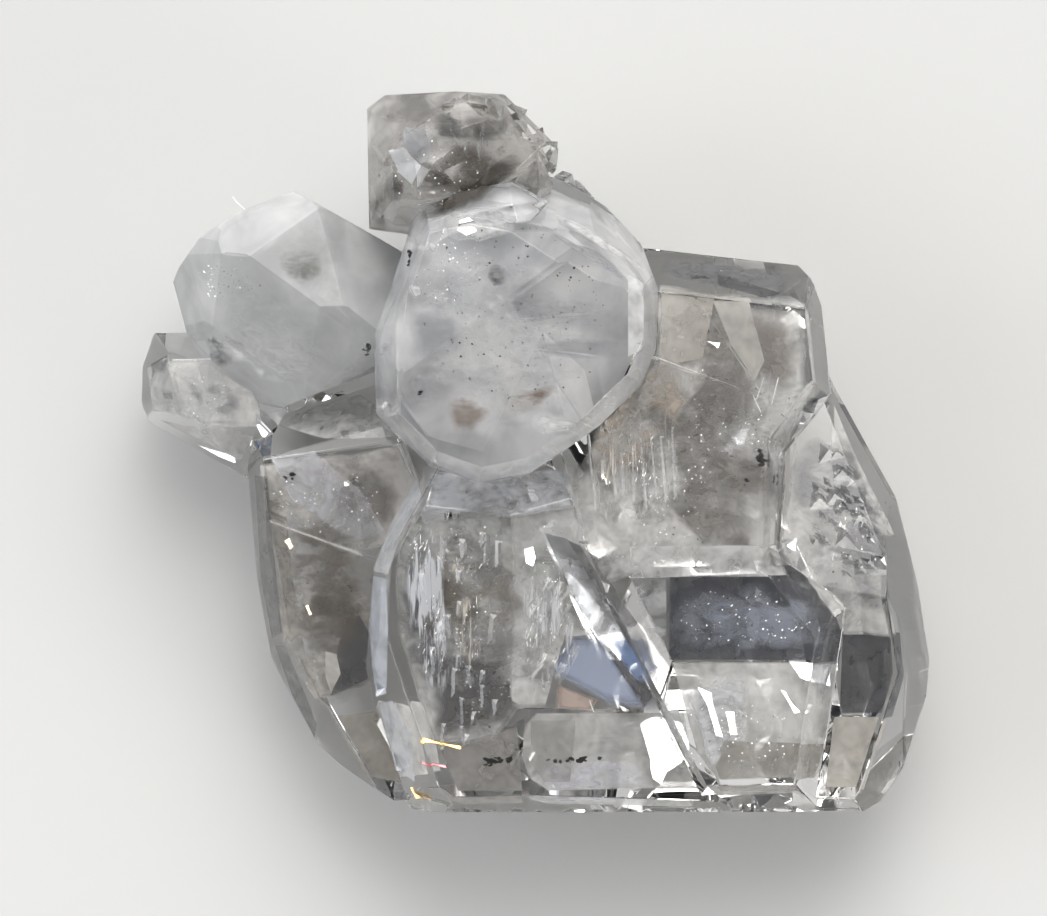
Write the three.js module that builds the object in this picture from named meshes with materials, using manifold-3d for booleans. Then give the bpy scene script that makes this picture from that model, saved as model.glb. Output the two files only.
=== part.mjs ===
// A cluster of clear and milky quartz crystals of the "Herkimer diamond" habit, grown into one
// another. It lies on its broad side. Millimetres, +X along its longest extent, +Z up from the
// surface it rests on, origin in the middle of its footprint.
import * as THREE from "three";
import { mergeVertices } from "three/addons/utils/BufferGeometryUtils.js";
import Module from "manifold-3d";

const wasm = await Module();
wasm.setup();

// Driving dimensions.
const restHeight = 0; // the flat undersides of the two carrying crystals
const top = {
  right: 8.8, // big clear crystal on the right
  corner: 7.3, // crystal at the lower right
  front: 8.6, // clear crystal in the middle of the front
  left: 6.7, // smoky crystal at the lower left
  milky: 12.1, // large milky crystal that lies on the others
  foot: 6.1, // small clear crystal at the far left
  head: 10.9, // small smoky crystal at the back
};
const girdle = { // height at which the sides stand out farthest
  right: 6.3,
  corner: 5.2,
  front: 6.6,
  left: 4.6,
  milky: 9.7,
  foot: 4.4,
  head: 8.6,
};
const frontEdge = -12.61; // the straight front side that three crystals share
const prismSlope = 60; // two neighbouring prism faces lean 60 degrees apart
const poleSlope = 51.8; // angle between the long axis of quartz and the normal of a tip face
const stepSlope = 38; // riser of a growth step

// Growth marks. A pair is a range, and bearings and slopes are in degrees.
const hillocks = {
  sunk: 0.08, // how deep a hillock's foot lies under its face
  hip: 0.7, // its ends lean this share of its flanks' slope
  west: { count: 30, bearing: [84, 100], length: [0.35, 1.1], width: [0.12, 0.26], slope: [22, 40] },
  east: { count: 12, bearing: [48, 64], length: [0.3, 0.8], width: [0.12, 0.22], slope: [22, 38] },
};
const ledges = { count: 9, first: 2.0, spacing: 0.36, length: [1.6, 3.0], width: [0.1, 0.18], slope: 24 };
const pits = { count: 44, mouth: 0.4, length: [0.3, 0.9], aspect: [0.4, 0.6], depth: [0.06, 0.15] };
const chips = { count: 16, first: -3.6, spacing: 0.98, jitter: 0.3, size: [0.16, 0.4], height: [7.0, 7.4] };
const druseTurn = 137; // each small crystal of a druse is turned this far from the last

const slack = { plane: 1e-6, corner: 1e-4, weld: 1e-5 }; // how near counts as touching
const rad = THREE.MathUtils.degToRad;
const deg = THREE.MathUtils.radToDeg;

// Faces. A face is a plane through a point. Its outward normal points along a bearing, in degrees
// anticlockwise from +X seen from above, and leans by `lean` degrees from straight up: 0 faces up,
// 90 is an upright wall and 180 faces down.
function face(bearing, lean, x, y, z) {
  const normal = new THREE.Vector3(
    Math.sin(rad(lean)) * Math.cos(rad(bearing)),
    Math.sin(rad(lean)) * Math.sin(rad(bearing)),
    Math.cos(rad(lean)),
  );
  return new THREE.Plane().setFromNormalAndCoplanarPoint(normal, new THREE.Vector3(x, y, z));
}

const floorFace = (z) => face(0, 180, 0, 0, z);

// A side of a crystal: an upright strip over (x, y) from height `low` to height `high`, with an
// upper face that leans `over` and a lower face that is undercut by `under` degrees.
function side(bearing, x, y, [low, high], over, under = prismSlope) {
  return [
    face(bearing, 90, x, y, 0),
    face(bearing, over, x, y, high),
    face(bearing, 180 - under, x, y, low),
  ];
}

function heightOn({ normal, constant }, x, y) {
  return -(normal.x * x + normal.y * y + constant) / normal.z;
}

// Corners shared by three or more faces, with no corner twice.
function cornersOf(planes) {
  const corners = [];
  for (let i = 0; i < planes.length; i++) {
    for (let j = i + 1; j < planes.length; j++) {
      for (let k = j + 1; k < planes.length; k++) {
        const [a, b, c] = [planes[i], planes[j], planes[k]];
        const bc = b.normal.clone().cross(c.normal);
        const size = a.normal.dot(bc);
        if (Math.abs(size) < slack.plane) continue;
        const ca = c.normal.clone().cross(a.normal);
        const ab = a.normal.clone().cross(b.normal);
        const corner = bc.multiplyScalar(-a.constant)
          .addScaledVector(ca, -b.constant)
          .addScaledVector(ab, -c.constant)
          .divideScalar(size);
        const inside = planes.every((plane) => plane.distanceToPoint(corner) < slack.plane);
        const known = corners.some((other) => other.distanceTo(corner) < slack.corner);
        if (inside && !known) corners.push(corner);
      }
    }
  }
  return corners;
}

// The closed flat-faced body that lies behind all of its faces, as a solid.
function crystal(...faces) {
  const planes = faces.flat(Infinity);
  const corners = cornersOf(planes);
  const positions = [];
  for (const plane of planes) {
    const ring = corners.filter((corner) => Math.abs(plane.distanceToPoint(corner)) < slack.corner);
    if (ring.length < 3) continue;
    const middle = ring.reduce((sum, corner) => sum.add(corner), new THREE.Vector3());
    middle.divideScalar(ring.length);
    const across = ring[0].clone().sub(middle).normalize();
    const upward = plane.normal.clone().cross(across);
    const turn = (corner) => {
      const arm = corner.clone().sub(middle);
      return Math.atan2(arm.dot(upward), arm.dot(across));
    };
    ring.sort((a, b) => turn(a) - turn(b));
    for (let i = 1; i + 1 < ring.length; i++) {
      for (const corner of [ring[0], ring[i], ring[i + 1]]) positions.push(...corner.toArray());
    }
  }
  const geometry = new THREE.BufferGeometry();
  geometry.setAttribute("position", new THREE.Float32BufferAttribute(positions, 3));
  return solidOf(geometry);
}

function solidOf(geometry) {
  const merged = mergeVertices(geometry, slack.weld);
  return new wasm.Manifold(new wasm.Mesh({
    numProp: 3,
    vertProperties: new Float32Array(merged.attributes.position.array),
    triVerts: new Uint32Array(merged.index.array),
  }));
}

// A doubly pointed quartz crystal: six prism faces around the long axis and six tip faces at each
// end. `reach` is how far the prism faces lie from `centre`, `tips` how far the faces of the near
// and the far end lie, each as one number or as six.
function quartz({ centre, bearing, rise, spin = 0, reach, tips }) {
  const axis = face(bearing, 90 - rise, 0, 0, 0).normal;
  const upper = face(bearing + 180, rise, 0, 0, 0).normal;
  const across = axis.clone().cross(upper);
  const middle = new THREE.Vector3(...centre);
  const each = (value, index) => (Array.isArray(value) ? value[index] : value);
  const faces = [];
  for (let i = 0; i < 6; i++) {
    const turn = rad(60 * i + spin);
    const outward = upper.clone().multiplyScalar(Math.cos(turn)).addScaledVector(across, Math.sin(turn));
    const add = (normal, distance) => {
      const point = middle.clone().addScaledVector(normal, distance);
      faces.push(new THREE.Plane().setFromNormalAndCoplanarPoint(normal, point));
    };
    add(outward, each(reach, i));
    for (const [end, way] of [[0, 1], [1, -1]]) {
      const tip = axis.clone().multiplyScalar(way * Math.cos(rad(poleSlope)))
        .addScaledVector(outward, Math.sin(rad(poleSlope)));
      add(tip, each(tips[end], i));
    }
  }
  return faces;
}

// A crystal whose upper face has low growth steps. Each step is [bearing, x, y, rise]: behind a
// line through (x, y) that faces `bearing`, the upper face stands `rise` higher.
function stepped(roof, sides, steps) {
  const raised = steps.map(([bearing, x, y, rise]) => {
    const higher = roof.clone();
    higher.constant -= rise;
    return crystal(higher, sides, face(bearing, stepSlope, x, y, heightOn(roof, x, y)));
  });
  return raised.reduce((joined, piece) => joined.add(piece), crystal(roof, sides));
}

// Broad upper faces that carry growth marks.
const rightRoof = face(200, 2, 6.5, 1.5, top.right);
const milkyRoof = face(252, 5, -0.8, 4.4, top.milky);
const leftRoof = face(222, 7, -7.24, -3.73, top.left);
const frontRoof = { west: face(184, 4, -0.6, -6.0, top.front), east: face(4, 4.5, -0.6, -6.0, top.front) };
const pittedRoof = face(62, 13, 11.5, -4.79, top.corner);

// The big clear crystal on the right, with a steep shoulder at the back.
const backShoulder = side(84, 6.64, 6.94, [5.2, girdle.right], 60);
const right = stepped(rightRoof, [
  backShoulder,
  face(354, 60, 8.22, -1.44, 8.62),
  side(358, 8.75, -1.4, [3.4, 6.8], 72, 50),
  side(270, 6.0, -5.4, [3.1, 7.6], 60),
  face(198, 60, 1.39, -1.62, 8.57),
  side(198, 0.7, -2.0, [5.0, 7.4], 70),
  side(135, 1.2, 5.8, [5.0, 6.4], 60),
  floorFace(restHeight),
], [[248, 5.3, 2.9, 0.05], [214, 6.3, 4.3, 0.09]]);

// Its back right corner, which stands out as a narrow strip along the right side.
const shoulder = crystal(
  rightRoof,
  backShoulder,
  side(41, 9.53, 6.37, [5.4, 6.9], 67, 67),
  side(22, 9.91, 5.69, [5.2, 7.0], 74, 67),
  side(6, 10.23, 3.93, [4.6, 6.4], 75, 58),
  face(322, 56, 9.15, 1.6, 8.6),
  side(322, 9.7, 1.2, [4.6, 6.6], 70),
  side(270, 7.0, -1.2, [4.0, 7.0], 60),
  side(180, 5.0, 3.0, [4.0, 7.6], 50),
  floorFace(0.9),
);

// Its twin in front: the same upper face, and a wide undercut along the front side.
const lower = crystal(
  rightRoof,
  face(37, 44, 9.37, -5.37, 8.55),
  face(56, 62, 9.3, -4.6, 8.1),
  side(351, 10.45, -9.0, [5.4, 7.2], 58),
  face(270, 60, 7.6, -11.83, 8.3),
  face(270, 90, 7.6, frontEdge, 0),
  face(270, 130, 7.6, frontEdge, 6.35),
  face(207, 60, 4.24, -8.31, 8.52),
  side(207, 3.6, -8.3, [3.0, 7.4], 70),
  side(92, 6.0, -2.6, [3.0, 7.9], 60),
  floorFace(0.05),
);

// The crystal at the lower right, with a face pitted by growth and a tall side facet.
const corner = crystal(
  face(350, 4, 11.5, -7.0, top.corner),
  pittedRoof,
  face(29, 48, 11.25, -0.39, 6.26),
  side(29, 11.55, 0.67, [4.2, 5.1], 70),
  side(57, 9.84, 3.1, [4.0, 5.0], 62),
  side(14, 13.1, -2.85, [4.0, girdle.corner], 61),
  face(8, 56, 12.62, -6.0, 7.1),
  side(9, 13.72, -5.7, [4.3, 4.9], 74),
  side(355, 13.93, -7.78, [4.0, 5.0], 66),
  side(342, 13.42, -9.9, [3.8, 5.0], 60),
  side(324.5, 12.49, -11.87, [4.2, 5.6], 62),
  face(270, 64, 11.0, -12.2, 7.1),
  face(270, 90, 11.0, frontEdge, 0),
  face(270, 120, 11.0, frontEdge, 6.1),
  side(190, 8.4, -8.0, [4.0, 6.6], 60),
  side(172, 7.4, -1.0, [4.0, 6.4], 60),
  face(110, 158, 10.6, -6.2, 0.35),
  floorFace(0.35),
);

// The clear crystal in the middle of the front: two broad upper faces that meet in a low ridge,
// a bright chamfer down its left side and a shallow shoulder at the back.
const front = crystal(
  frontRoof.west,
  frontRoof.east,
  face(94, 21, -1.0, -1.9, 8.5),
  side(94, -1.5, 2.2, [5.0, 6.2], 60),
  face(149, 60, -4.3, -2.42, 8.3),
  side(151, -4.72, -1.88, [4.6, girdle.front], 70),
  face(177, 59, -5.2, -5.3, 8.25),
  side(177.5, -5.86, -5.6, [4.6, girdle.front], 72),
  face(198, 50, -4.52, -8.4, 8.3),
  side(199, -5.55, -9.19, [4.4, 6.3], 66),
  face(236, 62, -4.0, -11.5, 8.0),
  side(24, 3.7, -5.3, [4.2, 7.6], 60),
  face(270, 66, 1.0, -12.15, 8.2),
  face(270, 90, 1.0, frontEdge, 0),
  face(270, 120, 1.0, frontEdge, 6.1),
  floorFace(restHeight),
);

// The smoky crystal at the lower left.
const left = stepped(leftRoof, [
  face(110, 24, -8.0, 0.55, 6.7),
  side(107, -8.59, 1.55, [3.6, girdle.left], 58),
  face(192, 55, -9.46, -2.57, 6.5),
  side(185, -10.1, -1.8, [3.0, girdle.left], 74),
  side(190, -9.68, -5.5, [3.0, girdle.left], 70),
  side(208, -8.6, -8.7, [2.8, 4.4], 66),
  face(284, 27, -6.67, -8.56, 6.45),
  side(228, -7.33, -10.65, [2.6, 4.3], 58),
  side(236, -5.74, -11.83, [2.8, 4.6], 60),
  side(270, -3.5, frontEdge + 0.3, [2.8, 4.6], 60),
  side(20, -1.0, -6.0, [3.0, 5.0], 60),
  side(60, -3.0, 1.5, [3.0, 5.0], 60),
  floorFace(0.6),
], [[74, -7.2, -3.1, 0.07]]);

// The large milky crystal that lies on the others.
const milky = stepped(milkyRoof, [
  face(348, 12, 2.4, 3.9, 12.15),
  face(55, 30, 0.94, 6.76, 12.34),
  face(60, 60, 2.1, 7.36, 11.6),
  side(58, 1.66, 9.16, [6.4, 9.2], 66),
  side(43, 3.06, 8.01, [6.4, 9.5], 68),
  side(20.7, 3.98, 6.57, [6.2, girdle.milky], 74),
  side(358, 4.24, 4.72, [6.2, girdle.milky], 77),
  side(337, 3.94, 3.05, [6.2, girdle.milky], 76),
  side(315, 2.98, 1.73, [6.2, girdle.milky], 76),
  side(304, 1.04, 0.19, [6.2, girdle.milky], 77),
  side(281, -1.07, -0.81, [6.4, 9.6], 77),
  side(251, -2.84, -0.69, [6.4, 9.6], 76),
  side(226, -5.0, 0.85, [6.2, 9.6], 76),
  side(162, -5.97, 3.05, [6.2, 9.4], 76),
  side(181.6, -5.71, 5.86, [6.2, 9.0], 74),
  face(182, 40, -4.75, 5.86, 11.95),
  side(153, -5.27, 8.68, [6.4, 8.4], 68),
  side(102, -3.54, 9.91, [6.4, 8.4], 62),
  side(80, -0.72, 9.91, [6.4, 8.4], 62),
  floorFace(3.0),
], [[97, -0.6, 4.7, 0.05], [84, -1.2, 3.9, 0.1], [301, -3.0, 3.6, 0.13], [28, 0.6, 3.0, 0.12]]);

// The milky crystal at the upper left: its long axis rises so that one tip face lies level.
const wing = crystal(
  quartz({
    centre: [-9.6, 5.6, 6.2],
    bearing: 304.5,
    rise: 38.2,
    reach: [3.75, 2.1, 3.6, 3.6, 4.2, 4.9],
    tips: [[3.7, 2.0, 3.7, 4.6, 5.4, 4.57], [3.4, 3.6, 3.4, 3.4, 3.4, 3.6]],
  }),
  side(61, -7.18, 8.5, [5.0, 9.5], 70),
  side(111, -9.62, 8.79, [4.5, 8.4], 64),
  side(123, -11.2, 8.01, [4.5, 8.2], 66),
  side(140, -12.17, 7.18, [4.2, 7.6], 66),
  side(155, -12.8, 6.27, [4.0, 6.6], 66),
  side(177, -13.08, 4.9, [4.0, 4.8], 66),
  side(291, -7.5, 2.2, [4.5, 7.2], 72),
);

// The small clear crystal that juts out under the wing.
const foot = crystal(
  face(60, 6, -12.0, 2.4, top.foot),
  face(196, 46, -12.6, 1.6, 6.0),
  side(161, -13.75, 3.66, [2.6, girdle.foot], 60),
  side(178, -13.97, 2.45, [2.6, girdle.foot], 64),
  side(199, -13.88, 1.53, [2.6, 4.4], 66),
  face(272, 44, -11.3, 0.8, 5.9),
  side(240, -12.4, 0.4, [2.6, 4.2], 64),
  side(300, -9.9, -0.7, [2.6, 4.0], 60),
  side(20, -9.0, 2.0, [2.6, 4.4], 60),
  side(90, -12.0, 4.3, [2.6, 4.4], 60),
  floorFace(1.3),
);

// The small smoky crystal at the back.
const head = crystal(
  face(140, 7, -2.9, 10.3, top.head),
  face(10, 16, -0.9, 10.6, 10.7),
  side(181, -5.88, 10.4, [7.0, girdle.head], 68),
  side(127, -5.6, 12.34, [7.0, girdle.head], 66),
  side(93, -4.16, 12.64, [7.0, girdle.head], 62),
  side(86, -2.04, 12.66, [7.0, 8.8], 62),
  side(46, -0.46, 11.99, [7.0, 8.8], 60),
  side(42, 0.48, 11.06, [7.0, 8.6], 60),
  side(354, 0.78, 10.39, [7.0, 8.6], 62),
  side(317, 0.3, 9.5, [7.0, 8.6], 60),
  face(282, 44, -1.6, 9.1, 10.7),
  face(262, 62, -3.8, 8.6, 10.6),
  side(262, -3.77, 7.6, [7.0, 9.0], 70),
  floorFace(5.6),
);

// Small growth marks. Their places are scattered by a fixed sequence between 0 and 1.
function sequence(seed) {
  let state = seed;
  return (low = 0, high = 1) => {
    state = (state * 16807) % 2147483647;
    return low + (high - low) * (state / 2147483647);
  };
}

// A low roof-shaped rise on a face, `length` long along `bearing`.
function hillock(plane, x, y, bearing, length, width, slope) {
  const z = heightOn(plane, x, y);
  const sunk = plane.clone().negate();
  sunk.constant -= hillocks.sunk;
  const along = [Math.cos(rad(bearing)), Math.sin(rad(bearing))];
  const at = (way, reach) => [x + way[0] * reach, y + way[1] * reach, z];
  const across = [along[1], -along[0]];
  return crystal(
    face(bearing, slope * hillocks.hip, ...at(along, length / 2)),
    face(bearing + 180, slope * hillocks.hip, ...at(along, -length / 2)),
    face(bearing - 90, slope, ...at(across, width / 2)),
    face(bearing + 90, slope, ...at(across, -width / 2)),
    sunk,
  );
}

// A lozenge-shaped pit that narrows downwards, as a solid to cut away.
function pit(plane, x, y, bearing, length, width, depth) {
  const z = heightOn(plane, x, y);
  const reach = (length * width) / Math.hypot(length, width) / 2;
  const slope = deg(Math.atan2(depth, reach));
  const corner = deg(Math.atan2(length, width));
  const walls = [corner, 180 - corner, 180 + corner, 360 - corner].map((turn) => {
    const way = bearing + turn;
    return face(way, 180 - slope, x + Math.cos(rad(way)) * reach, y + Math.sin(rad(way)) * reach, z);
  });
  return crystal(walls, face(0, 0, x, y, z + pits.mouth));
}

// Small quartz crystals along a line, each turned on from the last.
function druse(from, to, count, size, seed) {
  const next = sequence(seed);
  const pieces = [];
  for (let i = 0; i < count; i++) {
    const place = new THREE.Vector3(...from).lerp(new THREE.Vector3(...to), i / (count - 1));
    const reach = size * next(0.75, 1.2);
    pieces.push(crystal(quartz({
      centre: place.toArray(),
      bearing: druseTurn * i + next(0, 60),
      rise: next(-35, 55),
      spin: next(0, 60),
      reach,
      tips: [reach * next(1.05, 1.35), reach * next(1.05, 1.3)],
    })));
  }
  return pieces;
}

// A hillock at (x, y) with its measures drawn from the ranges of its kind.
function drawnHillock(plane, x, y, kind, next) {
  const [bearing, length, width, slope] = [kind.bearing, kind.length, kind.width, kind.slope]
    .map((range) => next(...range));
  return hillock(plane, x, y, bearing, length, width, slope);
}

const marks = [];
const cuts = [];

// Upright hillocks crowd the west face of the front crystal, whose lower end is narrower.
// Slanting ones lie beside its ridge.
const onFront = sequence(11);
for (let i = 0; i < hillocks.west.count; i++) {
  const y = onFront(-10.0, -3.0);
  const x = onFront(y < -8 ? -3.3 : -4.0, -1.3);
  marks.push(drawnHillock(frontRoof.west, x, y, hillocks.west, onFront));
}
for (let i = 0; i < hillocks.east.count; i++) {
  const x = onFront(-0.3, 1.0);
  const y = onFront(-7.9, -4.6);
  marks.push(drawnHillock(frontRoof.east, x, y, hillocks.east, onFront));
}

// Fine ledges run down the west end of the big crystal's upper face.
const onRight = sequence(5);
for (let i = 0; i < ledges.count; i++) {
  const x = ledges.first + ledges.spacing * i;
  const [y, bearing, length, width] = [[-0.6, 0.4], [92, 99], ledges.length, ledges.width]
    .map((range) => onRight(...range));
  marks.push(hillock(rightRoof, x, y, bearing, length, width, ledges.slope));
}

// Slanting pits over the upper face of the corner crystal, inside its sloping right edge.
const onCorner = sequence(23);
for (let i = 0; i < pits.count; i++) {
  const y = onCorner(-4.2, 0.3);
  const x = onCorner(y < -3.5 ? 10.9 : 9.8, 12.2 - Math.max(0, y + 1.5) * 0.75);
  const length = onCorner(...pits.length);
  const bearing = onCorner(-52, -28);
  const width = length * onCorner(...pits.aspect);
  cuts.push(pit(pittedRoof, x, y, bearing, length, width, onCorner(...pits.depth)));
}

// Chips out of the long front edge.
const onEdge = sequence(41);
for (let i = 0; i < chips.count; i++) {
  const x = chips.first + i * chips.spacing + onEdge(-chips.jitter, chips.jitter);
  const size = onEdge(...chips.size);
  cuts.push(crystal(quartz({
    centre: [x, frontEdge - size * 0.45, onEdge(...chips.height)],
    bearing: onEdge(0, 180),
    rise: onEdge(-20, 60),
    reach: size,
    tips: [size * 1.2, size * 1.2],
  })));
}

const grown = [
  ...druse([-0.95, 11.75, 9.4], [0.15, 10.35, 9.2], 5, 0.5, 3),
  ...druse([-2.9, 12.05, 9.9], [-1.5, 12.0, 9.9], 3, 0.4, 17),
  ...druse([0.95, 9.45, 8.0], [1.65, 8.75, 7.2], 3, 0.5, 29),
  ...druse([0.8, 6.4, 5.2], [3.0, 6.2, 4.9], 4, 0.6, 31),
  ...druse([-7.0, 1.7, 3.4], [-9.0, 1.2, 3.0], 4, 0.55, 37),
  ...druse([3.6, -6.5, 2.4], [3.0, -10.0, 3.8], 4, 0.6, 43),
  ...druse([-3.4, 8.4, 5.4], [-1.8, 8.6, 5.4], 3, 0.6, 47),
  ...druse([8.9, 0.6, 3.4], [9.3, 1.8, 3.8], 3, 0.5, 53),
];

// Blocky small crystals that break up the smoky one and its foot on the milky one.
const blocks = [
  { centre: [-4.55, 10.7, 10.25], bearing: 48, rise: 14, spin: 12, reach: 0.65, tips: [0.85, 0.9] },
  { centre: [-2.3, 11.0, 10.2], bearing: 105, rise: 8, spin: 20, reach: 0.8, tips: [0.95, 1.0] },
  { centre: [-1.3, 10.2, 9.95], bearing: 20, rise: 18, spin: 8, reach: 0.8, tips: [1.05, 1.0] },
  { centre: [-3.3, 9.5, 10.2], bearing: 150, rise: 10, spin: 40, reach: 0.75, tips: [1.0, 1.05] },
  { centre: [-0.4, 9.3, 9.5], bearing: 70, rise: 30, spin: 5, reach: 0.8, tips: [0.95, 1.0] },
  { centre: [-1.6, 8.35, 11.05], bearing: 12, rise: 6, spin: 24, reach: 0.9, tips: [1.3, 1.35] },
].map((habit) => crystal(quartz(habit)));

const large = [right, shoulder, lower, corner, front, left, milky, wing, foot, head];
const body = [...large, ...grown, ...blocks, ...marks].reduce((joined, piece) => joined.add(piece));
const weathered = cuts.reduce((rest, piece) => rest.subtract(piece), body);
const extent = weathered.boundingBox();
const middleOf = (axis) => (extent.min[axis] + extent.max[axis]) / 2;
const cluster = weathered.translate([-middleOf(0), -middleOf(1), -extent.min[2]]);

function meshOf(solid, name, material) {
  const { vertProperties, triVerts, numProp } = solid.getMesh();
  const positions = [];
  for (let i = 0; i < vertProperties.length; i += numProp) {
    positions.push(...vertProperties.subarray(i, i + 3));
  }
  const geometry = new THREE.BufferGeometry();
  geometry.setAttribute("position", new THREE.Float32BufferAttribute(positions, 3));
  geometry.setIndex(new THREE.BufferAttribute(triVerts, 1));
  const mesh = new THREE.Mesh(geometry, material);
  mesh.name = name;
  return mesh;
}

const clearQuartz = new THREE.MeshStandardMaterial({ color: 0xcfcdc8, roughness: 0.08, metalness: 0 });
const group = new THREE.Group();
group.add(meshOf(cluster, "crystal_cluster", clearQuartz));
export default group;
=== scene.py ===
import math

import bmesh
import bpy
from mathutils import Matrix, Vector, noise
from mathutils.bvhtree import BVHTree


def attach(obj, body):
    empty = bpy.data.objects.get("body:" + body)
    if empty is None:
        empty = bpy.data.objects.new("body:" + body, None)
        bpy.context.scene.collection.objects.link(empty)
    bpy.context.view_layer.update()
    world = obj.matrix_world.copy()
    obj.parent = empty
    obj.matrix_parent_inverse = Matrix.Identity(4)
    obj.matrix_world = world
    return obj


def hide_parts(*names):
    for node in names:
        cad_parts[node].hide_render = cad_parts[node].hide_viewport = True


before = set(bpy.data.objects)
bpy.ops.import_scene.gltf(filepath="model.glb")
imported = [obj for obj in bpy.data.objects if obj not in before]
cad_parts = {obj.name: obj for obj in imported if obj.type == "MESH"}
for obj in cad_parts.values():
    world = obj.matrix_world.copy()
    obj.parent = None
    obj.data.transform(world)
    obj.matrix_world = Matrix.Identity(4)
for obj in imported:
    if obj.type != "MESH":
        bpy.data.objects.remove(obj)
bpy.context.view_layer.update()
mm = 0.001  # lengths below are given in millimetres
print("frame loaded")

# The notes call the crystals right, corner (lower right), front, left, milky (on top of them all),
# wing (upper left), foot (far left) and smoky (behind the milky one).


class Wire:  # one output socket, so that a sum or product of two adds its Math node
    def __init__(self, graph, socket):
        self.graph, self.socket = graph, socket

    def maths(self, operation, first, second):
        return self.graph.node("ShaderNodeMath", {"operation": operation}, {0: first, 1: second})

    def __add__(self, other):
        return self.maths("ADD", self, other)

    def __radd__(self, other):
        return self.maths("ADD", other, self)

    def __sub__(self, other):
        return self.maths("SUBTRACT", self, other)

    def __rsub__(self, other):
        return self.maths("SUBTRACT", other, self)

    def __mul__(self, other):
        return self.maths("MULTIPLY", self, other)

    def __rmul__(self, other):
        return self.maths("MULTIPLY", other, self)

    def __pow__(self, other):
        return self.maths("POWER", self, other)

    def __rpow__(self, other):
        return self.maths("POWER", other, self)


class Graph:
    def __init__(self, tree):
        self.tree = tree

    def node(self, kind, settings=None, inputs=None, out=0):
        made = self.tree.nodes.new(kind)
        for key, value in (settings or {}).items():
            if key == "stops":  # a ramp's stops, as (place, value)
                ramp = made.color_ramp
                while len(ramp.elements) < len(value):
                    ramp.elements.new(0.5)
                for element, (place, level) in zip(ramp.elements, value):
                    element.position = place
                    element.color = level if isinstance(level, tuple) else (level, level, level, 1)
            else:
                setattr(made, key, value)
        for key, value in (inputs or {}).items():
            if isinstance(value, Wire):
                self.tree.links.new(value.socket, made.inputs[key])
            else:
                made.inputs[key].default_value = value
        return Wire(self, made.outputs[out]) if made.outputs else None

    def ramp(self, value, stops):
        return self.node("ShaderNodeValToRGB", {"stops": stops}, {0: value})


def newMaterial(name):
    material = bpy.data.materials.new(name)
    material.use_nodes = True
    material.node_tree.nodes.clear()
    return material, Graph(material.node_tree)


def finishPiece(form, name, material):
    bmesh.ops.triangulate(form, faces=form.faces)
    mesh = bpy.data.meshes.new(name)
    form.to_mesh(mesh)
    form.free()
    mesh.materials.append(material)
    return addPiece(mesh, name)


def addPiece(mesh, name):
    piece = bpy.data.objects.new(name, mesh)
    bpy.context.scene.collection.objects.link(piece)
    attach(piece, "root")
    print(name, len(mesh.polygons), "triangles")
    return piece


view = {  # straight down on the cluster
    "centre": (-0.414, -0.192),
    "plane": 7.0,  # the level that the width is measured at
    "distance": 320.0,  # above that level
    "width": 36.875,
    "sensor": 36.0,
    "clip": (0.01, 5),  # in metres
}
cameraData = bpy.data.cameras.new("camera")
cameraData.sensor_width = view["sensor"]
cameraData.lens = view["sensor"] * view["distance"] / view["width"]
cameraData.clip_start, cameraData.clip_end = view["clip"]
camera = bpy.data.objects.new("camera", cameraData)
camera.location = [part * mm for part in (*view["centre"], view["plane"] + view["distance"])]
bpy.context.scene.collection.objects.link(camera)
bpy.context.scene.camera = camera

studio = {
    "tone": [(0.0, 0.75), (0.35, 0.56), (0.7, 0.25), (1.0, 0.15)],  # by height above the floor's level
    "glows": [  # way, tightness, strength, colour
        ((0.06, 0.5, 0.55), 13.0, 9.5, (1.0, 0.985, 0.96)),
        ((-0.62, 0.05, 0.4), 24.0, 6.0, (0.93, 0.96, 1.0)),
        ((0.6, -0.3, 0.3), 50.0, 6.5, (1.0, 0.97, 0.93)),
    ],
}
world = bpy.data.worlds.new("studio")
world.use_nodes = True
world.node_tree.nodes.clear()
sky = Graph(world.node_tree)
heading = sky.node("ShaderNodeTexCoord", out="Generated")
height = sky.node("ShaderNodeSeparateXYZ", {}, {0: heading}, out="Z")
light = sky.ramp(height, studio["tone"])
for way, tightness, strength, colour in studio["glows"]:
    toward = sky.node("ShaderNodeVectorMath", {"operation": "DOT_PRODUCT"}, {
        0: heading, 1: Vector(way).normalized()}, out="Value")
    facing = sky.node("ShaderNodeMath", {"operation": "MAXIMUM"}, {0: toward, 1: 0.0})
    glow = facing ** tightness * strength
    beam = sky.node("ShaderNodeVectorMath", {"operation": "SCALE"}, {0: colour, "Scale": glow})
    light = sky.node("ShaderNodeVectorMath", {"operation": "ADD"}, {0: light, 1: beam})
backdrop = sky.node("ShaderNodeBackground", {}, {"Color": light, "Strength": 1.0})
sky.node("ShaderNodeOutputWorld", {}, {"Surface": backdrop})
world.cycles.sampling_method = "NONE"  # the studio is smooth, so rays that meet it are enough
bpy.context.scene.world = world
bpy.context.scene.view_settings.view_transform = "Standard"
bpy.context.scene.cycles.max_bounces = 12
bpy.context.scene.cycles.diffuse_bounces = 4
bpy.context.scene.cycles.transparent_max_bounces = 24  # many thin veils lie behind one another

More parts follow.
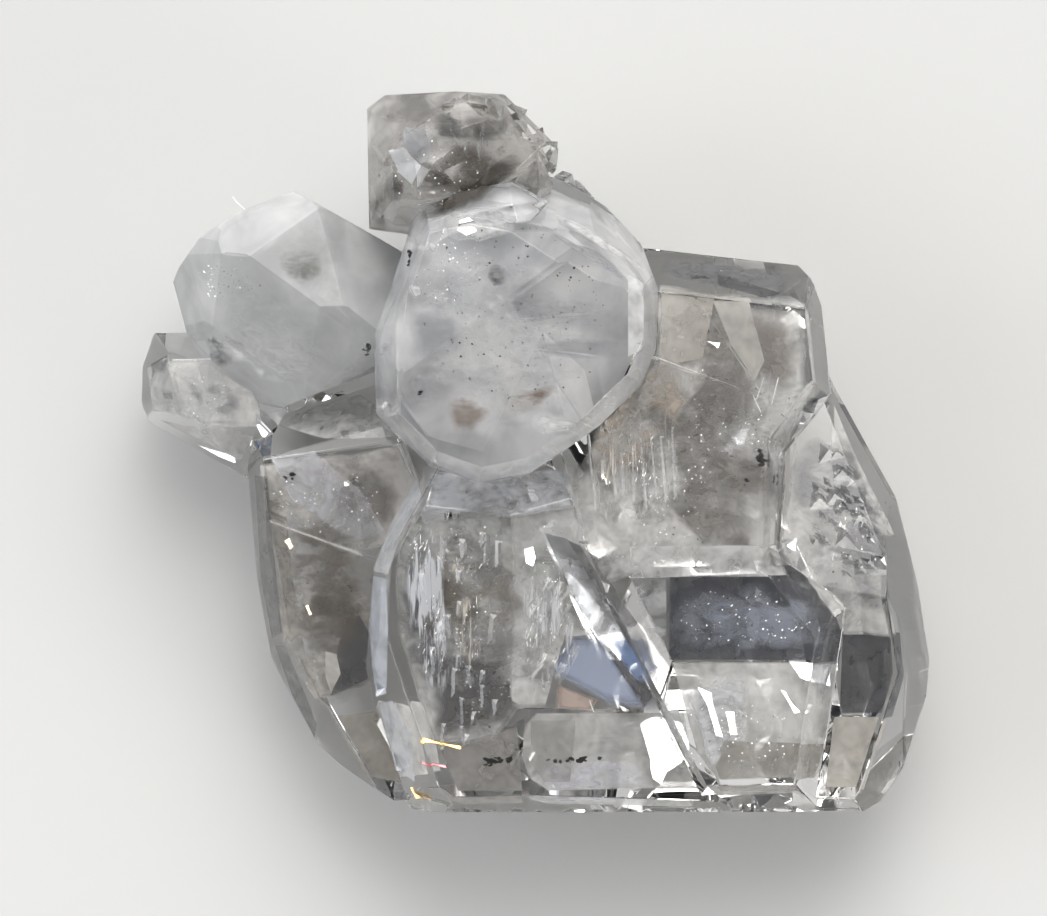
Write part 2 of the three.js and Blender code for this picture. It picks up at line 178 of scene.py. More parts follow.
ground = {
    "reach": 1500.0,
    "below": 0.03,  # the cluster's level underside
    "colour": (0.54, 0.54, 0.535, 1),
    "roughness": 0.9,
    "gloss": 0.15,
}
floorMaterial, g = newMaterial("paleFloor")
floorShader = g.node("ShaderNodeBsdfPrincipled", {}, {
    "Base Color": ground["colour"], "Roughness": ground["roughness"],
    "Specular IOR Level": ground["gloss"]})
g.node("ShaderNodeOutputMaterial", {}, {"Surface": floorShader})
floorMesh = bpy.data.meshes.new("floor")
floorMesh.from_pydata([(x * ground["reach"] * mm, y * ground["reach"] * mm, -ground["below"] * mm)
                       for x, y in ((-1, -1), (1, -1), (1, 1), (-1, 1))], [], [(0, 1, 2, 3)])
floorMesh.materials.append(floorMaterial)
floor = bpy.data.objects.new("floor", floorMesh)
bpy.context.scene.collection.objects.link(floor)
print("camera, studio and floor made")

stone = {
    "edgeRound": 0.045,
    "largeFace": 0.25,  # square millimetres; an edge is rounded where both its faces are larger
    "longEdge": 0.25,
    "sharpTurn": 6,  # degrees
    "flatTurn": 0.15,  # degrees; faces that turn less than this are one face
    "weld": 0.001,
    "tone": 0.985,
    "ior": 1.544,
    "waver": {"scale": 420.0, "height": 0.02},  # the faces' slight unevenness
    "absorbColour": (0.66, 0.64, 0.6, 1),
    "absorbDensity": 20.0,
}


def quartzMaterial():
    material, g = newMaterial("clearQuartz")
    place = g.node("ShaderNodeTexCoord", out="Object")
    waver = g.node("ShaderNodeTexNoise", {}, {
        "Vector": place, "Scale": stone["waver"]["scale"], "Detail": 0.0})
    bump = g.node("ShaderNodeBump", {}, {
        "Strength": 1.0, "Distance": stone["waver"]["height"] * mm, "Height": waver})
    shader = g.node("ShaderNodeBsdfPrincipled", {}, {
        "Base Color": (stone["tone"], stone["tone"], stone["tone"], 1), "Roughness": 0.0,
        "IOR": stone["ior"], "Transmission Weight": 1.0, "Normal": bump})
    absorb = g.node("ShaderNodeVolumeAbsorption", {}, {
        "Color": stone["absorbColour"], "Density": stone["absorbDensity"]})
    g.node("ShaderNodeOutputMaterial", {}, {"Surface": shader, "Volume": absorb})
    return material


form = bmesh.new()
form.from_mesh(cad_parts["crystal_cluster"].data)
bmesh.ops.remove_doubles(form, verts=form.verts, dist=stone["weld"] * mm)
bmesh.ops.dissolve_limit(form, angle_limit=math.radians(stone["flatTurn"]), verts=form.verts,
                         edges=form.edges)
inside = BVHTree.FromBMesh(form)  # for pieces that follow the crystals' faces from within
facets = [(face.calc_center_median(), face.normal.copy(), face.calc_area()) for face in form.faces]
sharp = [edge for edge in form.edges
         if len(edge.link_faces) == 2
         and edge.calc_face_angle(0) > math.radians(stone["sharpTurn"])
         and min(face.calc_area() for face in edge.link_faces) > stone["largeFace"] * mm * mm
         and edge.calc_length() > stone["longEdge"] * mm]
bmesh.ops.bevel(form, geom=sharp, offset=stone["edgeRound"] * mm, offset_type="OFFSET", segments=2,
                profile=0.5, affect="EDGES", clamp_overlap=False)
body = finishPiece(form, "crystalBody", quartzMaterial())
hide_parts("crystal_cluster")


# Milky and smoky growth zones: closed forms inside a crystal, with faces parallel to its own.
# Each is cut from a ball by the crystal's faces that its heart can see.
# Each face of a zone is painted paler or darker by how it faces the light's way: painted light and
# shade.
growth = {
    "leastFace": 0.4,  # square millimetres; smaller faces cut nothing
    "slack": 0.02,
    "weld": 0.0001,
    "roofTurn": 0.5,  # a face whose normal rises more than this belongs to the roof
    "sideShare": 0.3,  # the cloud comes nearer to the sides than to the roof
    "paintedLightWay": Vector((-0.25, 0.75, 0.6)).normalized(),  # faces turned this way get the palest painted light
}


def growthZone(form, heart, reach, depth):
    heart = Vector(heart) * mm
    block = bmesh.new()
    bmesh.ops.create_icosphere(block, subdivisions=2, radius=reach * mm)
    bmesh.ops.translate(block, verts=block.verts, vec=heart)
    for middle, normal, area in facets:
        away = middle - heart
        if area < growth["leastFace"] * mm * mm or away.length > reach * mm:
            continue
        if abs(inside.ray_cast(heart, away)[3] - away.length) > growth["slack"] * mm:
            continue
        inset = depth * (1.0 if normal.z > growth["roofTurn"] else growth["sideShare"])
        everything = block.verts[:] + block.edges[:] + block.faces[:]
        cut = bmesh.ops.bisect_plane(block, geom=everything, dist=growth["weld"] * mm, clear_outer=True,
                                     plane_co=middle - normal * inset * mm, plane_no=normal)
        rim = [part for part in cut["geom_cut"] if isinstance(part, bmesh.types.BMEdge)]
        if len(rim) > 2:
            bmesh.ops.contextual_create(block, geom=rim)
    bmesh.ops.triangulate(block, faces=block.faces)
    bmesh.ops.split_edges(block, edges=block.edges)  # so that each face keeps its own painted light and shade
    # The tone is painted light: how far each face turns toward the light's way.
    tone = block.verts.layers.float.new("tone")
    for face in block.faces:
        for vertex in face.verts:
            vertex[tone] = max(0.0, face.normal.dot(growth["paintedLightWay"]))
    shell = bpy.data.meshes.new("shell")
    block.to_mesh(shell)
    block.free()
    form.from_mesh(shell)
    bpy.data.meshes.remove(shell)


def zoneMaterial(name, zone):
    material, g = newMaterial(name)
    place = g.node("ShaderNodeTexCoord", out="Object")
    swirl = g.node("ShaderNodeTexNoise", {}, {
        "Vector": place, "Scale": zone["grain"], "Detail": 3.0, "Distortion": 0.5})
    tone = g.node("ShaderNodeAttribute", {"attribute_name": "tone"}, out="Fac")
    # Painted shade: faces turned from the light are darkened by up to the zone's painted shade value.
    paintedShade = g.ramp(tone, [(0.3, 1 - zone["paintedShade"]), (0.95, 1.0)])
    colour = g.node("ShaderNodeMix", {"data_type": "RGBA", "blend_type": "MULTIPLY"}, {
        0: 1.0, 6: g.ramp(swirl, zone["colours"]), 7: paintedShade}, out=2)
    shader = g.node("ShaderNodeBsdfPrincipled", {}, {
        "Base Color": colour, "Roughness": 0.8, "IOR": 1.1, "Alpha": g.ramp(swirl, zone["cover"])})
    g.node("ShaderNodeOutputMaterial", {}, {"Surface": shader})
    return material


def makeZones(name, zone):  # a heart is a middle, a reach, and the depth under the faces
    form = bmesh.new()
    for heart, reach, depth in zone["hearts"]:
        growthZone(form, heart, reach, depth)
    finishPiece(form, name, zoneMaterial(name, zone))


milkyZones = {
    "hearts": [((-0.9, 4.2, 9.4), 6.8, 0.2), ((-1.1, 4.4, 9.0), 4.6, 0.9)],
    "colours": [(0.3, (0.84, 0.85, 0.88, 1)), (0.48, (0.95, 0.955, 0.975, 1)),
                (0.64, (1.0, 1.0, 1.0, 1))],
    "cover": [(0.3, 0.5), (0.6, 0.95)],
    "grain": 360.0,
    "paintedShade": 0.1,
}
makeZones("milkyZones", milkyZones)

frostedZones = {
    "hearts": [((-9.6, 5.4, 6.3), 5.4, 0.2)],
    "colours": [(0.3, (0.92, 0.93, 0.935, 1)), (0.7, (1.0, 1.0, 1.0, 1))],
    "cover": [(0.3, 0.7), (0.7, 0.97)],
    "grain": 500.0,
    "paintedShade": 0.14,
}
makeZones("frostedZones", frostedZones)

smokyZones = {
    "hearts": [((-2.7, 10.4, 8.9), 4.4, 0.3)],
    "colours": [(0.36, (0.16, 0.14, 0.12, 1)), (0.6, (0.8, 0.775, 0.745, 1))],
    "cover": [(0.35, 0.3), (0.65, 0.75)],
    "grain": 600.0,
    "paintedShade": 0.2,
}
makeZones("smokyZones", smokyZones)


# Sheets of fine bubbles, stains and cracks: thin closed lenses, each with an outline in plan.
# A lens lies at a depth under the roof and follows it, or leans with a bearing and a slope in degrees.
above = 20.0  # a level over all the crystals, from which the roof is felt for
lensShape = {
    "rings": 8,
    "step": 0.3,  # between points of the rim
    "halfThick": 0.012,  # at the middle
    "sameRoof": 1.2,  # a roof further off than this is another crystal's
    "softFrom": 0.1,  # lenses more ragged than this get round corners
    "lobes": 1.6,  # how fine the rim's waves are, and the small ones on them
    "nicks": 4.0,
    "nickShare": 0.5,
    "wave": 0.5,  # how fine the lens's own waves are
    "shifts": (3.7, 9.0, 5.3),  # so that no two lenses have the same waves
}


def veil(outline, depth, tint, bend=0.0, lean=None):  # a tint is a colour and how much it covers
    return outline, depth, tint, bend, lean


def surfaceHeight(x, y):
    hit = inside.ray_cast(Vector((x * mm, y * mm, above * mm)), Vector((0, 0, -1)))[0]
    return hit.z / mm if hit else 0.0


def lens(form, spec, seed, ragged):
    outline, depth, tint, bend, lean = spec
    rings = lensShape["rings"]
    rimShift, nickShift, waveShift = lensShape["shifts"]
    fade, colour = form.verts.layers.float["fade"], form.verts.layers.float_color["tint"]
    cx = sum(x for x, y in outline) / len(outline)
    cy = sum(y for x, y in outline) / len(outline)
    top = surfaceHeight(cx, cy)
    for softening in range(2 if ragged > lensShape["softFrom"] else 0):
        outline = [(x1 + (x2 - x1) * share, y1 + (y2 - y1) * share)
                   for (x1, y1), (x2, y2) in zip(outline, outline[1:] + outline[:1])
                   for share in (0.25, 0.75)]
    edge = []
    for (x1, y1), (x2, y2) in zip(outline, outline[1:] + outline[:1]):
        steps = max(1, round(math.hypot(x2 - x1, y2 - y1) / lensShape["step"]))
        edge += [(x1 + (x2 - x1) * i / steps, y1 + (y2 - y1) * i / steps) for i in range(steps)]

    def at(ring, spoke, side):
        r = ring / rings
        dx, dy = edge[spoke][0] - cx, edge[spoke][1] - cy
        turn = Vector((dx, dy, 0)).normalized()
        lobes = noise.noise(turn * lensShape["lobes"] + Vector((0, 0, seed * rimShift)))
        nicks = noise.noise(turn * lensShape["nicks"] + Vector((nickShift, 0, seed)))
        swell = r * (1 + ragged * (lobes + lensShape["nickShare"] * nicks))
        dx, dy = dx * swell, dy * swell
        level = surfaceHeight(cx + dx, cy + dy) if lean is None else top
        if abs(level - top) > lensShape["sameRoof"]:
            level = top
        if lean is not None:
            bearing, slope = math.radians(lean[0]), math.tan(math.radians(lean[1]))
            level -= slope * (dx * math.cos(bearing) + dy * math.sin(bearing))
        wave = Vector((dx * lensShape["wave"], dy * lensShape["wave"], seed * waveShift))
        lift = bend * (noise.noise(wave) - 0.5)
        thick = lensShape["halfThick"] * side * (1 - r * r)
        vertex = form.verts.new(Vector((cx + dx, cy + dy, level - depth + lift + thick)) * mm)
        vertex[fade], vertex[colour] = 1 - r, tint
        return vertex

    rim = [at(rings, spoke, 0) for spoke in range(len(edge))]
    for side in (1, -1):
        rows = [[at(0, 0, side)]]
        rows += [[at(ring, spoke, side) for spoke in range(len(edge))] for ring in range(1, rings)]
        rows.append(rim)
        for inner, outer in zip(rows, rows[1:]):
            for spoke in range(len(edge)):
                after = (spoke + 1) % len(edge)
                corners = [inner[spoke % len(inner)], outer[spoke], outer[after]]
                if len(inner) > 1:
                    corners.append(inner[after])
                form.faces.new(corners[::side])


def lensForm(lenses, ragged):
    form = bmesh.new()
    form.verts.layers.float.new("fade")
    form.verts.layers.float_color.new("tint")
    for index, spec in enumerate(lenses):
        lens(form, spec, index + 1, ragged)
    bmesh.ops.recalc_face_normals(form, faces=form.faces)
    return form


# Fine noise, swayed by a broad one, makes each sheet's haze.
sheetGrain = {"detail": 2.5, "roughness": 0.65, "distortion": 0.3, "broad": 420.0, "broadShare": 0.55}


def sheetMaterial(name, sheet):
    material, g = newMaterial(name)
    place = g.node("ShaderNodeTexCoord", out="Object")
    fade = g.node("ShaderNodeAttribute", {"attribute_name": "fade"}, out="Fac")
    tint = g.node("ShaderNodeAttribute", {"attribute_name": "tint"}, out="Color")
    strength = g.node("ShaderNodeAttribute", {"attribute_name": "tint"}, out="Alpha")
    drawn = g.node("ShaderNodeVectorMath", {"operation": "MULTIPLY"}, {0: place, 1: sheet["stretch"]})
    fine = g.node("ShaderNodeTexNoise", {}, {
        "Vector": drawn, "Scale": sheet["grain"], "Detail": sheetGrain["detail"],
        "Roughness": sheetGrain["roughness"], "Distortion": sheetGrain["distortion"]})
    broad = g.node("ShaderNodeTexNoise", {}, {
        "Vector": place, "Scale": sheetGrain["broad"], "Detail": 0.0})
    haze = g.ramp(fine + (broad - 0.5) * sheetGrain["broadShare"], sheet["haze"])
    cover = haze * g.ramp(fade, [(0.0, 0.0), (sheet["edge"], 1.0)]) * strength
    shader = g.node("ShaderNodeBsdfPrincipled", {}, {
        "Base Color": tint, "Roughness": sheet["roughness"], "Metallic": sheet["metallic"],
        "Alpha": cover})
    g.node("ShaderNodeOutputMaterial", {}, {"Surface": shader})
    return material


# The haze's stops set how much shows, and the edge how wide its fading rim is.
def makeSheets(name, sheet):
    finishPiece(lensForm(sheet["lenses"], sheet["ragged"]), name, sheetMaterial(name, sheet))


milk, pearl, mist = (0.95, 0.94, 0.92, 1), (0.98, 0.98, 0.98, 1), (0.86, 0.85, 0.83, 0.9)
dusk, smoke = (0.36, 0.335, 0.31, 0.6), (0.25, 0.23, 0.205, 0.75)

# Clouds of small bubbles in the clear crystals.
bubbleVeils = {
    "lenses": [
        # right crystal
        veil([(1.0, -1.4), (2.4, -4.6), (4.7, -4.2), (8.2, -4.1), (8.3, -0.2), (9.6, 2.4), (9.4, 5.0),
              (4.3, 5.6), (4.1, 3.2), (3.4, 1.6), (2.0, 0.4)], 0.7, milk, bend=0.6),
        # the same, deeper
        veil([(4.6, 3.6), (8.6, 4.0), (9.2, 1.6), (8.1, -0.6), (8.0, -3.8), (5.2, -4.0), (2.9, -3.6),
              (3.0, -0.4)], 1.4, milk, bend=0.9),
        # left crystal
        veil([(-9.6, -0.4), (-4.8, 0.3), (-4.1, -1.3), (-5.6, -3.8), (-7.4, -3.0), (-9.5, -2.0)], 0.45,
              (0.84, 0.81, 0.77, 0.9), bend=0.5),
        veil([(-9.4, -2.2), (-5.6, -3.8), (-5.8, -8.1), (-7.6, -8.6), (-8.6, -6.8)], 0.7,
              (0.7, 0.66, 0.61, 0.9), bend=0.5),
        # front crystal
        veil([(-0.8, -2.0), (1.3, -1.7), (2.4, -4.9), (3.4, -6.3), (1.0, -6.5), (0.3, -9.0),
              (-0.9, -9.1)], 0.6, mist, bend=0.5),
        veil([(-4.4, -2.3), (-0.5, -2.1), (-0.2, -5.0), (-0.5, -8.9), (-1.4, -10.1), (-3.5, -10.3),
              (-4.9, -6.3), (-5.0, -4.0)], 1.0, mist, bend=0.5),
        # corner crystal
        veil([(8.7, -1.0), (9.8, -1.2), (12.2, -3.6), (12.2, -5.0), (12.5, -6.5), (10.8, -6.4),
              (8.7, -3.6)], 0.5, mist, bend=0.4),
        veil([(10.4, 1.8), (11.8, -1.4), (12.6, -3.0), (12.0, -3.0), (10.4, 0.2)], 0.4, milk, bend=0.2),
        # foot crystal
        veil([(-12.9, 3.2), (-11.6, 3.2), (-9.9, 2.2), (-9.8, 1.0), (-11.6, 1.0), (-12.6, 1.4)], 0.3,
              mist, bend=0.2),
        # right crystal, over its dark pane
        veil([(3.2, -3.3), (8.5, -3.2), (8.8, -4.35), (3.3, -4.4)], 0.15, (0.8, 0.79, 0.78, 1),
              bend=0.1),
        # foot crystal
        veil([(-13.7, 3.0), (-12.9, 3.4), (-12.5, 1.4), (-13.5, 1.5)], 0.2, mist, bend=0.1),
        veil([(-13.3, 1.2), (-12.4, 1.0), (-10.6, 0.9), (-9.9, 0.6), (-10.4, -0.3), (-11.5, 0.3)], 0.15,
              milk, bend=0.1),
        # between wing and left crystal
        veil([(-9.2, 0.9), (-8.2, 1.5), (-6.2, 2.0), (-5.3, 1.4), (-4.9, 0.5), (-7.4, 0.4)], 0.2, milk,
              bend=0.1),
        # left crystal
        veil([(-9.3, -0.2), (-7.8, 0.0), (-6.2, -1.2), (-5.2, -2.9), (-6.4, -3.2), (-8.6, -1.6)], 0.25,
              (0.92, 0.92, 0.97, 0.5), bend=0.2),
    ],
    "ragged": 0.06,
    "haze": [(0.3, 0.1), (0.68, 0.85)],
    "grain": 1150.0,
    "stretch": (1.0, 1.0, 1.0),
    "metallic": 0.0,
    "roughness": 0.6,
    "edge": 0.06,
}
makeSheets("bubbleVeils", bubbleVeils)

# Fainter, finer veils, and the ones close under the milky faces.
fineVeils = {
    "lenses": [
        # milky crystal
        veil([(-4.6, 2.0), (-2.0, -0.2), (1.4, 1.2), (2.2, 4.0), (0.8, 6.4), (-1.0, 7.4), (-4.0, 7.2),
              (-4.8, 5.0)], 0.14, (1.0, 1.0, 1.0, 0.3), bend=0.06),
        # wing crystal
        veil([(-10.6, 6.4), (-7.0, 4.4), (-6.4, 3.8), (-7.9, 2.4), (-9.4, 2.4), (-11.2, 3.6)], 0.12,
              (1.0, 1.0, 1.0, 0.25), bend=0.03),
        veil([(-9.6, 6.9), (-7.5, 8.2), (-6.5, 4.6)], 0.12, (1.0, 1.0, 0.98, 0.25), bend=0.03),
        # smoky crystal
        veil([(-5.4, 11.6), (-1.0, 11.8), (0.2, 10.4), (-0.6, 9.6), (-3.0, 8.6), (-5.4, 8.4)], 0.25,
              (0.66, 0.63, 0.6, 0.5), bend=0.2),
        # seam of front and right crystal
        veil([(3.4, -4.4), (4.6, -4.4), (4.6, -7.2), (5.6, -11.4), (4.6, -9.4)], 0.5,
              (0.7, 0.7, 0.7, 0.7), bend=0.2),
        # front crystal, low: pale lilac painted reflected light
        veil([(-0.2, -10.9), (3.6, -10.8), (4.2, -11.8), (0.2, -11.9)], 1.0, (0.9, 0.9, 1.0, 0.5),
              bend=0.2),
        # right crystal, low: a painted highlight
        veil([(5.2, -8.0), (7.4, -7.6), (7.6, -10.6), (6.2, -11.2)], 1.2, (0.97, 0.98, 1.0, 0.9),
              bend=0.2),
        # front crystal, under the milky one
        veil([(-3.8, -0.7), (-1.0, -0.8), (1.4, -0.5), (1.5, -1.9), (-0.8, -2.3), (-4.1, -2.1)], 0.3,
              (0.88, 0.89, 0.93, 0.9), bend=0.1),
        # right crystal, beside the milky one
        veil([(3.4, 2.6), (4.6, 3.2), (5.4, 1.9), (4.6, 0.4), (3.2, -0.6), (1.8, -0.9), (1.8, 0.3)],
              0.4, (0.78, 0.69, 0.59, 0.9), bend=0.1),
    ],
    "ragged": 0.1,
    "haze": [(0.36, 0.0), (0.7, 0.8)],
    "grain": 1500.0,
    "stretch": (0.8, 1.2, 1.0),
    "metallic": 0.0,
    "roughness": 0.5,
    "edge": 0.2,
}
makeSheets("fineVeils", fineVeils)

# Even panes of painted light and shade, standing in for what a crystal's far faces show through its
# near ones; a few are pale tan.
paintedLightAndShadePanes = {
    "lenses": [
        # front crystal's window, a pane of painted light
        veil([(0.0, -9.15), (5.3, -9.15), (5.6, -11.8), (0.4, -11.9), (-0.2, -11.5), (-0.45, -10.6),
              (-0.35, -9.5)], 1.4, (0.8, 0.79, 0.77, 1), bend=0.3),
        # right crystal's window, a pane of painted light
        veil([(4.8, -7.35), (10.4, -7.35), (10.1, -10.2), (9.4, -11.4), (6.4, -11.5), (5.7, -10.6)],
              1.5, (0.84, 0.83, 0.81, 1), bend=0.3),
        # shade low in it
        veil([(6.0, -10.1), (9.9, -10.2), (9.5, -11.4), (6.5, -11.5)], 1.2, (0.46, 0.43, 0.39, 0.8),
              bend=0.1),
        # shade in the front window
        veil([(-0.2, -9.4), (1.4, -9.4), (1.2, -11.6), (0.3, -11.6), (-0.2, -10.9)], 1.2,
              (0.5, 0.48, 0.46, 0.5), bend=0.1),
        # right crystal's dark pane
        veil([(4.7, -4.3), (9.0, -4.3), (10.3, -6.2), (10.3, -7.3), (4.7, -7.3)], 1.7,
              (0.11, 0.115, 0.135, 0.95), bend=0.2),
        # corner crystal's dark pane
        veil([(10.8, -6.4), (12.5, -6.4), (12.6, -7.8), (12.2, -9.2), (10.7, -9.2)], 1.2,
              (0.1, 0.1, 0.11, 0.9), bend=0.2),
        # corner crystal, low
        veil([(10.5, -9.3), (12.1, -9.3), (11.3, -11.8), (10.2, -11.8)], 0.8, (0.7, 0.66, 0.6, 1),
              bend=0.2),
        # front crystal, low
        veil([(-5.2, -8.6), (-3.6, -8.8), (-3.3, -11.2), (-4.6, -11.4), (-5.6, -9.6)], 1.4, milk,
              bend=0.2),
        # left crystal, low
        veil([(-7.0, -9.2), (-5.4, -9.0), (-4.8, -11.6), (-5.8, -11.4)], 0.6, (0.6, 0.56, 0.5, 1),
              bend=0.2),
        # front crystal, low
        veil([(-3.3, -10.4), (-0.6, -9.6), (-0.4, -11.9), (-2.7, -11.9)], 1.2, (0.4, 0.38, 0.36, 0.9),
              bend=0.2),
        # foot crystal, painted shade
        veil([(-13.5, 3.1), (-12.9, 3.4), (-12.7, 1.9), (-13.3, 2.0)], 0.5, (0.06, 0.06, 0.07, 0.9)),
        # right crystal's back face, painted shade
        veil([(6.4, 6.2), (9.0, 5.4), (8.0, 5.35), (6.4, 5.8)], 0.3, (0.08, 0.08, 0.09, 0.9)),
        # seam of front and right crystal, painted shade
        veil([(1.0, -3.0), (1.7, -3.3), (3.9, -6.4), (4.5, -8.6), (3.6, -7.0), (1.2, -4.2)], 0.3,
              (0.22, 0.22, 0.23, 0.8), bend=0.1),
        veil([(0.3, -2.8), (1.1, -3.0), (2.2, -4.9), (3.1, -6.3), (2.2, -6.5), (1.4, -5.2)], 0.12,
              (0.36, 0.36, 0.37, 0.85)),
        # smoky crystal, a painted highlight on one face and painted shade on the next
        veil([(-5.1, 10.5), (-4.6, 10.65), (-3.95, 9.95), (-4.3, 9.3), (-4.75, 9.75)], 0.15,
              (0.95, 0.96, 0.98, 0.9)),
        veil([(-4.55, 11.3), (-3.7, 11.2), (-3.6, 10.3), (-3.95, 10.0), (-4.6, 10.7)], 0.2,
              (0.62, 0.63, 0.66, 0.7)),
        # milky crystal's edge, a painted highlight
        veil([(3.2, 6.2), (3.72, 5.9), (3.76, 3.6), (3.2, 3.3)], 0.12, pearl),
        # right crystal's shoulder, pale tan panes
        veil([(4.4, 5.6), (6.3, 5.4), (5.9, 3.3), (4.4, 3.0)], 0.5, (0.86, 0.81, 0.74, 0.5)),
        veil([(6.2, 5.35), (7.5, 5.3), (8.05, 3.2), (7.7, 2.5), (6.9, 3.7)], 0.45,
              (0.9, 0.87, 0.82, 0.6)),
        # left crystal, painted shade with a painted highlight beside it
        veil([(-7.2, -8.6), (-6.9, -6.6), (-6.2, -5.7), (-5.8, -6.4), (-5.9, -8.0)], 0.5,
              (0.12, 0.12, 0.13, 0.85)),
        veil([(-7.4, -7.0), (-7.0, -7.1), (-6.85, -7.8), (-7.2, -8.5), (-7.4, -7.9)], 0.4,
              (0.9, 0.87, 0.82, 0.85)),
        # left crystal's side, painted shade
        veil([(-9.9, -0.8), (-9.45, -0.8), (-8.9, -6.4), (-9.3, -6.6), (-9.7, -4.4)], 0.12,
              (0.17, 0.165, 0.16, 0.85)),
        veil([(-9.2, -6.8), (-8.8, -6.8), (-7.7, -9.6), (-7.8, -10.1), (-8.6, -8.6)], 0.12,
              (0.17, 0.165, 0.16, 0.85)),
        # front crystal's left edge, painted highlights
        veil([(-4.2, -0.9), (-5.1, -2.5), (-5.7, -4.2), (-5.15, -4.3), (-4.7, -2.9), (-3.95, -1.5)],
              0.12, (0.93, 0.94, 0.97, 0.75)),
        veil([(-5.7, -4.3), (-5.82, -6.4), (-5.6, -8.6), (-5.2, -8.5), (-5.15, -6.4), (-5.2, -4.4)],
              0.12, (0.84, 0.87, 0.93, 0.75)),
        veil([(-5.5, -8.8), (-4.9, -11.2), (-4.2, -11.6), (-4.3, -9.9), (-5.0, -8.7)], 0.12,
              (0.93, 0.94, 0.97, 0.75)),
    ],
    "ragged": 0.0,
    "haze": [(0.25, 0.3), (0.7, 0.95)],
    "grain": 1000.0,
    "stretch": (1.0, 1.0, 1.0),
    "metallic": 0.0,
    "roughness": 0.6,
    "edge": 0.03,
}
makeSheets("paintedLightAndShadePanes", paintedLightAndShadePanes)

# Veils drawn out across the crystals' growth lines.
striatedVeils = {
    "lenses": [
        # right crystal
        veil([(1.6, 0.4), (3.4, 1.4), (4.9, 2.0), (5.0, -1.2), (4.0, -2.6), (2.2, -2.6)], 0.3,
              (0.88, 0.82, 0.74, 0.95), bend=0.1),
        # front crystal
        veil([(-4.7, -3.2), (-4.0, -2.4), (-3.2, -2.6), (-3.0, -6.0), (-3.0, -8.6), (-3.8, -8.8),
              (-4.4, -6.0)], 0.3, (0.95, 0.96, 1.0, 0.9), bend=0.2),
        # right crystal's edge
        veil([(8.6, 1.0), (9.5, 0.6), (8.9, -2.0), (8.6, -3.9), (8.2, -3.9)], 0.4, dusk, bend=0.2),
        # front crystal, feathery
        veil([(-3.1, -3.8), (-1.2, -3.5), (-1.2, -4.0), (-3.0, -4.4)], 0.3, (0.86, 0.8, 0.71, 1),
              bend=0.05),
        veil([(-2.9, -5.3), (-1.7, -4.9), (-1.4, -6.0), (-1.9, -6.9), (-2.2, -8.0), (-2.6, -7.0)], 0.3,
              (0.86, 0.8, 0.71, 1), bend=0.05),
        # front crystal
        veil([(-0.6, -3.6), (1.8, -4.0), (2.0, -6.2), (0.8, -8.4), (-0.6, -8.8)], 0.35,
              (0.93, 0.93, 0.95, 0.8), bend=0.2),
    ],
    "ragged": 0.15,
    "haze": [(0.54, 0.0), (0.64, 0.9)],
    "grain": 1500.0,
    "stretch": (3.6, 0.35, 1.0),
    "metallic": 0.0,
    "roughness": 0.5,
    "edge": 0.25,
}
makeSheets("striatedVeils", striatedVeils)
